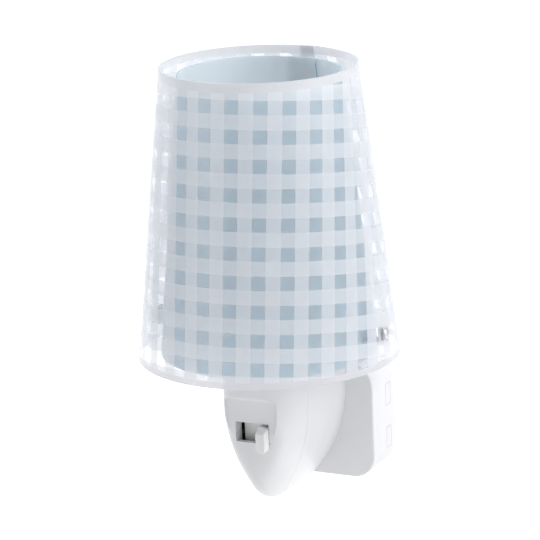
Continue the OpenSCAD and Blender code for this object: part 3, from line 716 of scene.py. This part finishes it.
def form_point(t, inset, point):
    """Where a point of the widest outline comes to lie at t along the loft."""
    x, z, back = point
    dx = (BODY_HALF_W - inset) * (width_scale(t + LOFT_STEP) - width_scale(t - LOFT_STEP))
    dy = plan_y(t + LOFT_STEP, inset) - plan_y(t - LOFT_STEP, inset)
    length = math.hypot(dx, dy)
    if z < ARCH_START:
        z = ARCH_START + (z - ARCH_START) * keel_scale(t, inset)
    x = max(0, x * width_scale(t) + back * dy / length)
    return Vector((x, plan_y(t, inset) - back * dx / length, z))


def form_ring(t, inset, profile, flat_y=None):
    """One outline of the body. With flat_y, every point of it lies at that y."""
    half = []
    for point in profile:
        placed = form_point(t, inset, point)
        if flat_y is not None:
            placed = form_point(t_at(2 * flat_y - placed.y, inset), inset, point)
            placed.y = flat_y
        half.append(placed)
    return half + [Vector((-p.x, p.y, p.z)) for p in reversed(half[:-1])]


def body_form(name, inset, y_back, y_front, top_round=0.0, chamfer_back=False, chamfer_front=False):
    """The body's form between two upright planes, or as far as its nose where y_front is None."""
    profile = half_profile(inset, top_round)

    def edge_ring(y, drawn_in):
        deep = inset + drawn_in
        return form_ring(t_at(y, deep), deep, half_profile(deep, top_round), y)

    t_back = t_at(y_back, inset)
    if chamfer_back:
        rings = [edge_ring(y_back, PARTING_CHAMFER), edge_ring(y_back - PARTING_CHAMFER, 0)]
    else:
        rings = [form_ring(t_back, inset, profile, min(y_back, BOX_FACE_Y))]
        if y_back > BOX_FACE_Y:
            rings.insert(0, [Vector((p.x, y_back, p.z)) for p in rings[0]])
    if y_front is None:
        t_front = NOSE_END
        ways = [math.sin(math.pi / 2 * i / NOSE_STEPS) for i in range(2, NOSE_STEPS + 1)]
    else:
        t_front = t_at(y_front, inset)
        ways = [i / LOFT_STEPS for i in range(1, LOFT_STEPS)]
    rings += [form_ring(t_back + (t_front - t_back) * way, inset, profile) for way in ways]
    if chamfer_front:
        rings += [edge_ring(y_front + PARTING_CHAMFER, 0), edge_ring(y_front, PARTING_CHAMFER)]
    elif y_front is not None:
        rings.append(edge_ring(y_front, 0))
    n = len(rings[0])
    verts = [p for ring in rings for p in ring]
    faces = ring_faces(n, len(rings)) + [tuple(range(n))]
    last = (len(rings) - 1) * n
    if y_front is None:
        half = n // 2
        faces += [(last + j, last + j + 1, last + n - 2 - j, last + n - 1 - j) for j in range(half - 1)]
        faces.append((last + half - 1, last + half, last + half + 1))
    else:
        faces.append(tuple(range(last, last + n)))
    return mesh_object(name, verts, faces)


# ---- Front cover ----

FAR = 60 * MM
PANEL_REACH = 30 * MM
PANEL_CUT_TOP = BODY_TOP + 5 * MM
PANEL_ARC_STEPS = 24


def panel_draft(z):
    """How far the recess widens for each unit that it comes forward: one beside the panel, more below."""
    return 1 + 1.6 * eased(-z, -9 * MM, 3 * MM)


def panel_cut():
    """What the recess takes away, out to the sloping face above the panel and the leaning walls beside it."""
    top_reach = (PANEL_CUT_TOP - PANEL_TOP) / math.tan(math.radians(PANEL_SLOPE))
    outline = [(PANEL_HALF_W, PANEL_TOP, 1, 0)]
    turn = math.degrees(math.acos((PANEL_ARCH_R - PANEL_HALF_W) / PANEL_ARCH_R))
    outline += [(PANEL_HALF_W, ARCH_START + (PANEL_TOP - ARCH_START) * k / 3, 1, 0) for k in (2, 1)]
    for k in range(PANEL_ARC_STEPS):
        a = math.radians(-turn * k / PANEL_ARC_STEPS)
        outline.append((PANEL_HALF_W - PANEL_ARCH_R + PANEL_ARCH_R * math.cos(a),
                        ARCH_START + PANEL_ARCH_R * math.sin(a), math.cos(a), math.sin(a)))
    outline.append((0, ARCH_START - PANEL_ARCH_R * math.sin(math.radians(turn)), 0, -1))
    outline += [(-x, z, -nx, nz) for x, z, nx, nz in reversed(outline[:-1])]
    n = len(outline)
    front_y = PANEL_Y - PANEL_REACH
    back = [(x, PANEL_Y, z) for x, z, _, _ in outline]
    front = [(x + nx * PANEL_REACH * panel_draft(z), front_y, z + nz * PANEL_REACH * panel_draft(z))
             for x, z, nx, nz in outline]
    top_x = PANEL_HALF_W + top_reach * panel_draft(PANEL_TOP)
    front_x = PANEL_HALF_W + PANEL_REACH * panel_draft(PANEL_TOP)
    top = [(-top_x, PANEL_Y - top_reach, PANEL_CUT_TOP), (top_x, PANEL_Y - top_reach, PANEL_CUT_TOP),
           (front_x, front_y, PANEL_CUT_TOP), (-front_x, front_y, PANEL_CUT_TOP)]
    faces = [(k, k + 1, n + k + 1, n + k) for k in range(n - 1)]
    faces += [tuple(range(n)), (0, n - 1, 2 * n, 2 * n + 1), (0, 2 * n + 1, 2 * n + 2, n),
              (n - 1, 2 * n - 1, 2 * n + 3, 2 * n), (2 * n, 2 * n + 1, 2 * n + 2, 2 * n + 3),
              tuple(range(n, 2 * n)) + (2 * n + 3, 2 * n + 2)]
    return mesh_object("panel_cut", back + front + top, faces)


def panel_wedge(depth):
    """Everything in front of the panel's plane and its sloping face, set back by depth."""
    corner = PANEL_TOP + depth * math.tan(math.radians(45 - PANEL_SLOPE / 2))
    floor_y = PANEL_Y + depth
    far_z = corner + FAR * math.tan(math.radians(PANEL_SLOPE))
    profile = [(floor_y, -FAR), (floor_y, corner), (floor_y - FAR, far_z), (floor_y - FAR, -FAR)]
    verts = [(x, y, z) for x in (-FAR, FAR) for y, z in profile]
    faces = [(0, 1, 2, 3), (4, 5, 6, 7)] + [(k, (k + 1) % 4, 4 + (k + 1) % 4, 4 + k) for k in range(4)]
    return mesh_object("panel_wedge", verts, faces)


def collar_blocks():
    """The window's collar behind the panel: a wall above it and one on each side, and none below."""
    inner = WINDOW_W / 2
    outer = inner + WALL
    low, high = WINDOW_Z - WINDOW_H / 2 - WALL, WINDOW_Z + WINDOW_H / 2 + WALL
    lap = 0.01 * MM
    return [block("collar", -outer, -inner, PANEL_Y, COLLAR_END_Y, low, high - WALL / 2),
            block("collar", inner, outer, PANEL_Y, COLLAR_END_Y, low, high - WALL / 2),
            block("collar", -outer - lap, outer + lap, PANEL_Y, COLLAR_END_Y, high - WALL, high)]


def neck_hole():
    """The round hole in the body's top that the lampholder stands in."""
    r = NECK_D / 2 + SEAT_GAP
    depth = 3 * WALL
    return lathe("neck_hole", [(0, 0), (r, 0), (r, depth), (0, depth)], on_lamp_axis(FOOT_TOP_Z - WALL))


BLEND_REACH = 4 * MM
BLEND_START, BLEND_FULL = 12 * MM, 2 * MM
SHAVE = 0.03 * MM


def blend_below(obj):
    """Runs the body's front smoothly into the panel's plane, more and more from the lever's height down."""
    for vertex in obj.data.vertices:
        weight = eased(-vertex.co.z, -BLEND_START, -BLEND_FULL)
        ahead = PANEL_Y - SHAVE - vertex.co.y
        if ahead > BLEND_REACH:
            vertex.co.y += weight * ahead
        elif ahead > -BLEND_REACH:
            vertex.co.y += weight * (ahead + BLEND_REACH) ** 2 / (4 * BLEND_REACH)


def build_front_cover(plastic):
    cover = body_form("front_shell", 0, AXIS_Y, None, TOP_ROUND, chamfer_back=True)
    blend_below(cover)
    cavity = body_form("cavity", WALL, AXIS_Y + 5 * MM, None)
    posts = [rod("post", 0, z, POST_D, PANEL_Y, COVER_POST_END_Y) for z in SCREW_ZS]
    combine(cavity, [panel_wedge(WALL)] + collar_blocks() + posts)
    bores = [rod("bore", 0, z, SCREW_D + 2 * SEAT_GAP, PANEL_Y + WALL, AXIS_Y) for z in SCREW_ZS]
    window = block("window", -WINDOW_W / 2, WINDOW_W / 2, -2 * FAR, COLLAR_END_Y + 5 * MM,
                   WINDOW_Z - WINDOW_H / 2, WINDOW_Z + WINDOW_H / 2)
    combine(cover, [panel_cut(), cavity, window, neck_hole()] + bores)
    finished(cover, plastic)
    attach(cover, "housing")
    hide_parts("front_cover")


# ---- Rear body with plug box ----

def rounded_rectangle(w, h, r, steps=16):
    points = []
    for sx, sz, start in ((1, 1, 0), (-1, 1, 90), (-1, -1, 180), (1, -1, 270)):
        points += arc(sx * (w / 2 - r), sz * (h / 2 - r), r, start, start + 90, steps)
    return points


def plug_box(name):
    """The box's outer form, with a rounded front edge and a small chamfer at its open back."""
    rings = [(0, BOX_BACK_CHAMFER), (-BOX_BACK_CHAMFER, 0)]
    rings += [(BOX_FACE_Y + BOX_BEVEL - y, BOX_BEVEL - x) for x, y in arc(0, 0, BOX_BEVEL, 0, 90, 6)]
    verts = []
    for y, inset in rings:
        verts += [(x, y, z) for x, z in
                  rounded_rectangle(BOX_W - 2 * inset, BOX_H - 2 * inset, BOX_R - inset)]
    n = len(verts) // len(rings)
    faces = ring_faces(n, len(rings)) + [tuple(range(n)), tuple(range(len(verts) - n, len(verts)))]
    return mesh_object(name, verts, faces)


def build_rear_body(plastic):
    body = plug_box("rear_shell")
    tail = body_form("tail", 0, BOX_FACE_Y + MM, AXIS_Y, TOP_ROUND, chamfer_front=True)
    post_front = base_high.y
    posts = [rod("post", 0, z, POST_D, post_front, BULKHEAD_Y) for z in SCREW_ZS]
    cavity = body_form("cavity", WALL, BOX_FACE_Y, AXIS_Y - 8 * MM)
    combine(cavity, [rod("post_room", 0, z, POST_D, post_front - 5 * MM, BULKHEAD_Y) for z in SCREW_ZS])
    inner_w, inner_h = BOX_W - 2 * BOX_WALL, BOX_H - 2 * BOX_WALL
    inside = prism("inside", rounded_rectangle(inner_w, inner_h, BOX_R - BOX_WALL), BULKHEAD_Y, FAR)
    combine(body, [tail], "UNION")
    combine(body, [cavity, inside, neck_hole()])
    combine(body, posts, "UNION")
    leads = [block("lead_hole", side * LEAD_HOLE_X - LEAD_HOLE_W / 2, side * LEAD_HOLE_X + LEAD_HOLE_W / 2,
                   BOX_FACE_Y - MM, BULKHEAD_Y + MM, -MM, LEAD_HOLE_TOP) for side in (LEFT, RIGHT)]
    bores = [rod("bore", 0, z, SCREW_D + 0.2 * MM, post_front - MM, BULKHEAD_Y + MM) for z in SCREW_ZS]
    clips = [block("clip_window", side * (BOX_W / 2 - 2 * BOX_WALL), side * (BOX_W / 2 + BOX_WALL),
                   CLIP_Y - CLIP_W / 2, CLIP_Y + CLIP_W / 2, z - CLIP_H / 2, z + CLIP_H / 2)
             for side in (LEFT, RIGHT) for z in CLIP_ZS]
    combine(body, leads + bores + clips)
    finished(body, plastic)
    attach(body, "housing")
    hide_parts("rear_body")


housing_plastic = moulded_plastic("housing_plastic", (0.825, 0.822, 0.84), 0.36)
build_front_cover(housing_plastic)
build_rear_body(housing_plastic)


# ---- Switch lever ----

def build_lever(plastic):
    """The lever as one piece: a knob on the panel, a stem through the window and a shutter behind it."""
    right = slider_high.x
    left = right - LEVER_W
    top = WINDOW_Z + KNOB_RISE
    edge, foot = left - KNOB_LAP, top - KNOB_H - KNOB_LAP
    back_y = PANEL_Y - RUNNING_GAP
    back = [(edge, foot + 1.1 * MM), (edge + 0.7 * MM, foot + 0.3 * MM), (right - 0.5 * MM, foot + 0.2 * MM),
            (right, foot + 0.8 * MM), (right, top - 0.3 * MM), (edge, top)]
    front = [(edge + 0.1 * MM, foot + 1.1 * MM), (edge + 0.8 * MM, foot + 0.2 * MM), (right - 0.7 * MM, foot),
             (right - 0.1 * MM, foot + 0.6 * MM), (right - 0.1 * MM, top - 1.3 * MM),
             (edge + 0.1 * MM, top - 1.2 * MM)]
    lever = ruled_block("switch_lever_piece", back, front, back_y, slider_low.y)
    soften(lever, KNOB_ROUND, 4)
    lever.data.transform(Matrix.Translation((KNOB_SHIFT, 0, 0)))
    shutter_front = slider_high.y - SHUTTER_T
    stem_bottom = WINDOW_Z - WINDOW_H / 2 + 3 * RUNNING_GAP
    stem_top = stem_bottom + WINDOW_H - 8 * RUNNING_GAP
    stem = prism("stem", [(left + 0.1 * MM, stem_bottom + 0.1 * MM), (right, stem_bottom + 0.1 * MM),
                          (right, stem_top - 0.6 * MM), (left + 0.1 * MM, stem_top - 0.1 * MM)],
                 back_y - 0.9 * MM, shutter_front + 0.4 * MM)
    low, high = slider_low, slider_high
    shutter = prism("shutter", [(low.x, low.z + 0.4 * MM), (low.x + 0.2 * MM, low.z), (high.x, low.z),
                                (high.x, stem_top - 0.6 * MM), (left + 0.4 * MM, high.z - 1.6 * MM),
                                (left - 1.4 * MM, high.z), (low.x, high.z)], shutter_front, high.y)
    soften(shutter, 0.12 * MM)
    combine(lever, [stem, shutter], "UNION")
    finished(lever, plastic, 35)
    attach(lever, "switch_lever")
    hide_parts("switch_slider")


# ---- Rivets, plug pins and bulb ----

def rounded_profile(points, radius, steps=4):
    """A profile of (radius, height) points with every corner between its ends rounded."""
    made = [points[0]]
    for a, b, c in zip(points, points[1:], points[2:]):
        a, b, c = Vector(a), Vector(b), Vector(c)
        reach = min(radius, (a - b).length / 2.2, (c - b).length / 2.2)
        start, end = b + (a - b).normalized() * reach, b + (c - b).normalized() * reach
        for k in range(steps + 1):
            t = k / steps
            made.append(tuple(start * (1 - t) ** 2 + b * 2 * t * (1 - t) + end * t * t))
    return made + [points[-1]]


def build_rivets(metal):
    """Two rivets with domed heads, square to the sheet that they hold."""
    share = (RIVET_Z - shade_low.z) / (shade_high.z - shade_low.z)
    sheet_r = SHADE_R_BOTTOM + (SHADE_R_TOP - SHADE_R_BOTTOM) * share
    head_r, shank_r = RIVET_HEAD_D / 2, RIVET_D / 2
    dome = [(0, 0.62), (0.5, 0.6), (0.95, 0.5), (1.3, 0.33), (1.52, 0.14), (1.6, 0.0)]
    scale = head_r / dome[-1][0]
    profile = [(r * scale, h * MM) for r, h in dome] + [(shank_r, 0), (shank_r, -RIVET_GRIP)]
    profile += [(head_r * r, -RIVET_GRIP - h * MM) for r, h in ((0.92, 0), (0.86, 0.3), (0.6, 0.45))]
    profile += [(shank_r * 0.8, -RIVET_GRIP - 0.3 * MM), (0, -RIVET_GRIP - 0.28 * MM)]
    rivets = []
    for side in (LEFT, RIGHT):
        lean = Matrix.Rotation(side * (math.pi / 2 - HALF_ANGLE), 4, "Y")
        place = Matrix.Translation((side * (sheet_r + RIVET_SEAT), AXIS_Y, RIVET_Z))
        rivets.append(lathe("rivet", profile, place @ lean, 40))
    obj = finished(joined("rivets_domed", rivets), metal, 40)
    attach(obj, "shade")
    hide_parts("shade_rivets")


def build_pins(metal):
    """Two round pins: a tail and a boss inside the box, a waist for the sleeve and a rounded nose."""
    r, core = PIN_D / 2, CORE_D / 2
    tail, nose = pin_low.y, pin_high.y
    shoulder = -PLATE_T - SEAT_GAP
    profile = rounded_profile([(0, tail), (PIN_TAIL_R, tail), (PIN_TAIL_R, PIN_BOSS_Y)], 0.2 * MM)
    profile += rounded_profile([(r, PIN_BOSS_Y), (r, shoulder), (core, shoulder), (core, SLEEVE_END_Y)],
                               0.05 * MM)
    profile += rounded_profile([(core, SLEEVE_END_Y), (r, SLEEVE_END_Y), (r, nose), (0, nose)],
                               PIN_NOSE_R, 8)
    pins = []
    for side in (LEFT, RIGHT):
        place = Matrix.Translation((side * PIN_X, 0, 0)) @ Matrix.Rotation(-math.pi / 2, 4, "X")
        pins.append(lathe("pin", profile, place, 64))
    obj = finished(joined("pins_rounded", pins), metal, 35)
    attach(obj, "housing")
    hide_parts("plug_pins")


def turned(name, profile, node, material):
    """A turned piece of the bulb."""
    obj = finished(lathe(name, profile, on_lamp_axis()), material, 35)
    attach(obj, "bulb")
    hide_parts(node)


def build_cap(metal):
    """The bulb's screw cap: a thread that runs out at both ends."""
    r = (cap_high.x - cap_low.x) / 2
    around, rows = 96, 120
    verts = [(0, AXIS_Y, cap_low.z)]
    for row in range(rows + 1):
        share = row / rows
        z = cap_low.z + (cap_high.z - cap_low.z) * share
        fade = eased(share, 0.02, 0.14) * (1 - eased(share, 0.80, 0.92))
        lead_in = CAP_LEAD_IN * (1 - eased(share, 0, 0.03))
        for k in range(around):
            a = 2 * math.pi * k / around
            wave = 0.5 - 0.5 * math.cos(2 * math.pi * (z / THREAD_PITCH - k / around))
            reach = r - THREAD_DEPTH * (1 - fade * wave) - lead_in
            verts.append((reach * math.cos(a), AXIS_Y + reach * math.sin(a), z))
    verts.append((0, AXIS_Y, cap_high.z))
    last = 1 + rows * around
    faces = ring_faces(around, rows + 1, 1)
    faces += [(0, 1 + (k + 1) % around, 1 + k) for k in range(around)]
    faces += [(last + k, last + (k + 1) % around, last + around) for k in range(around)]
    obj = finished(mesh_object("threaded_cap", verts, faces), metal, 50)
    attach(obj, "bulb")
    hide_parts("bulb_cap")


def build_bulb():
    """The bulb's contact, plastic collar and hollow globe."""
    cap_r = (cap_high.x - cap_low.x) / 2
    tip = rounded_profile([(0, tip_low.z), (CONTACT_R, tip_low.z), (CONTACT_R, tip_low.z + CONTACT_H),
                           (cap_r - 1.3 * MM, tip_high.z), (0, tip_high.z)], 0.6 * MM)
    turned("contact_tip", tip, "bulb_tip",
           moulded_plastic("tip_glass", (0.03, 0.03, 0.035), 0.25))
    globe_r = (globe_high.x - globe_low.x) / 2
    low, high = collar_low.z, collar_high.z
    collar = rounded_profile([(0, low), (cap_r + 0.2 * MM, low), (cap_r + 0.8 * MM, COLLAR_SHOULDER_Z),
                              (globe_r, high - COLLAR_RIM), (globe_r, high), (0, high)], 0.5 * MM)
    turned("collar_turned", collar, "bulb_collar",
           moulded_plastic("bulb_plastic", (0.84, 0.84, 0.82), 0.4))
    base, straight = globe_low.z, globe_high.z - globe_r
    outer = [(globe_r, base), (globe_r, straight)] + arc(0, straight, globe_r, 0, 90, 20)[1:-1]
    inner = arc(0, straight, globe_r - GLOBE_T, 90, 0, 20)[1:] + [(globe_r - GLOBE_T, base)]
    turned("globe_turned", [(0, globe_high.z - GLOBE_T)] + inner + outer + [(0, globe_high.z)],
           "bulb_globe", frosted_globe())


def frosted_globe():
    """Milky plastic that lets light through and hides what is behind it."""
    tree = Tree("frosted_globe")
    tone = tree.colours(tree.spread(tree.noise(120), 0.3, 0.7), (0.90, 0.90, 0.88), (0.94, 0.94, 0.92))
    return tree.finish(film_sheen(tree, tree.diffusing(tone, 0.35), 0.3))


# ---- Materials of the kept solids ----

def dress(material, *names):
    """Gives the CAD model's own solids a material."""
    for name in names:
        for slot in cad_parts[name].material_slots:
            slot.material = material


nickel = worked_metal("nickel_plate", (0.72, 0.70, 0.66), 0.28, streaks=1400)
steel = worked_metal("strap_metal", (0.66, 0.67, 0.69), 0.34, (1, 8, 8), streaks=600)
brass = worked_metal("contact_metal", (0.80, 0.64, 0.34), 0.3, (6, 1, 6), tarnish=0.2)
# The lever's plastic is made paler than the housing's as painted light, lifting the shade inside the switch
# window and on the knob.
switch_plastic_painted_light = moulded_plastic("switch_plastic_painted_light", (0.91, 0.905, 0.9), 0.3, edge=0.12 * MM)
build_lever(switch_plastic_painted_light)
build_rivets(worked_metal("rivet_nickel", (0.62, 0.62, 0.64), 0.3, streaks=2000))
build_pins(nickel)
build_cap(worked_metal("cap_metal", (0.74, 0.73, 0.71), 0.26, (1, 1, 12), streaks=500))
build_bulb()
dress(steel, "shade_bracket")
dress(housing_plastic, "pin_plate")
dress(moulded_plastic("sleeve_plastic", (0.045, 0.045, 0.05), 0.42, 0.15 * MM, 0.2), "pin_sleeves")
dress(worked_metal("screw_metal", (0.60, 0.60, 0.62), 0.3), "cover_screws")
dress(moulded_plastic("holder_plastic", (0.82, 0.82, 0.80), 0.45), "lampholder")
dress(brass, "screw_contact", "centre_contact", "moving_contact", "fixed_contacts")
dress(moulded_plastic("base_plastic", (0.05, 0.05, 0.055), 0.5, mottle=0.15), "switch_base")
dress(moulded_plastic("brown_jacket", (0.20, 0.10, 0.05), 0.45, mottle=0.15),
      "live_lead", "switched_lead")
dress(moulded_plastic("blue_jacket", (0.06, 0.17, 0.45), 0.45, mottle=0.15), "neutral_lead")


# ---- Stage, lamps and camera ----

FLOOR_Z = -0.12
FLOOR_HALF = 6.0
FLOOR_GLOW = 0.55
AMBIENT = (0.97, 0.985, 1.0)
AMBIENT_FRONT = 0.25
AMBIENT_BACK = 0.86

LAMP_TARGET = Vector((0, AXIS_Y, 0.045))
# name, place, size of its square, power
LAMPS = (("right_lamp", (1.0, 0.05, 0.55), 0.7, 3.9),
         ("left_lamp", (-0.9, 0.2, 0.5), 0.7, 3.1),
         ("low_lamp", (-0.5, -0.75, -0.05), 0.6, 0.8),
         ("top_lamp", (0.4, -0.1, 1.0), 0.7, 5.0))

CAMERA_PLACE = Vector((0.36373, -0.77885, 0.27147))
CAMERA_TARGET = Vector((0, -0.038, 0.0462))
CAMERA_ROLL = -2.297
CAMERA_LENS = 200.80
CAMERA_SHIFT = (0.00534, 0.0249)


def build_floor():
    """A floor as white as the backdrop to the eye, which keeps the shadow and is clear from below."""
    corners = [(x, y, FLOOR_Z) for x, y in ((-FLOOR_HALF, -FLOOR_HALF), (FLOOR_HALF, -FLOOR_HALF),
                                            (FLOOR_HALF, FLOOR_HALF), (-FLOOR_HALF, FLOOR_HALF))]
    floor = mesh_object("floor", corners, [(0, 1, 2, 3)], closed=False)
    tree = Tree("floor_white")
    tone = tree.colours(tree.noise(3), (0.88, 0.88, 0.88), (0.90, 0.90, 0.90))
    matt = tree.node("BsdfDiffuse", {"Color": tone}).outputs[0]
    strength = tree.maths("MULTIPLY", tree.seen(), FLOOR_GLOW)
    glow = tree.node("Emission", {"Color": (1, 1, 1, 1), "Strength": strength}).outputs[0]
    lit = tree.node("AddShader", {0: matt, 1: glow}).outputs[0]
    behind = tree.node("NewGeometry").outputs["Backfacing"]
    floor.data.materials.append(tree.finish(tree.mix(behind, lit, tree.clear())))


def build_world():
    """A white backdrop to the eye, and a soft light that is stronger from behind than from the front."""
    tree = Tree("studio", "World")
    direction = tree.node("SeparateXYZ", {0: tree.node("TexCoord").outputs["Generated"]}).outputs["Y"]
    level = tree.spread(direction, -1, 1, AMBIENT_FRONT, AMBIENT_BACK)
    ambient = tree.node("Background", {"Color": (*AMBIENT, 1), "Strength": level}).outputs[0]
    backdrop = tree.node("Background", {"Color": (1, 1, 1, 1)}).outputs[0]
    bpy.context.scene.world = tree.finish(tree.mix(tree.seen(), ambient, backdrop))


def build_lamp(name, place, size, power):
    data = bpy.data.lights.new(name, "AREA")
    data.size = size
    data.energy = power
    lamp = bpy.data.objects.new(name, data)
    lamp.location = place
    lamp.rotation_euler = (LAMP_TARGET - lamp.location).to_track_quat("-Z", "Y").to_euler()
    bpy.context.scene.collection.objects.link(lamp)


def build_camera():
    data = bpy.data.cameras.new("camera")
    data.sensor_width = 36
    data.lens = CAMERA_LENS
    data.shift_x, data.shift_y = CAMERA_SHIFT
    camera = bpy.data.objects.new("camera", data)
    aim = (CAMERA_TARGET - CAMERA_PLACE).to_track_quat("-Z", "Y")
    roll = Matrix.Rotation(math.radians(CAMERA_ROLL), 4, "Z")
    camera.matrix_world = Matrix.Translation(CAMERA_PLACE) @ aim.to_matrix().to_4x4() @ roll
    bpy.context.scene.collection.objects.link(camera)
    bpy.context.scene.camera = camera


build_floor()
build_world()
for lamp in LAMPS:
    build_lamp(*lamp)
build_camera()
bpy.context.scene.view_settings.view_transform = "Standard"
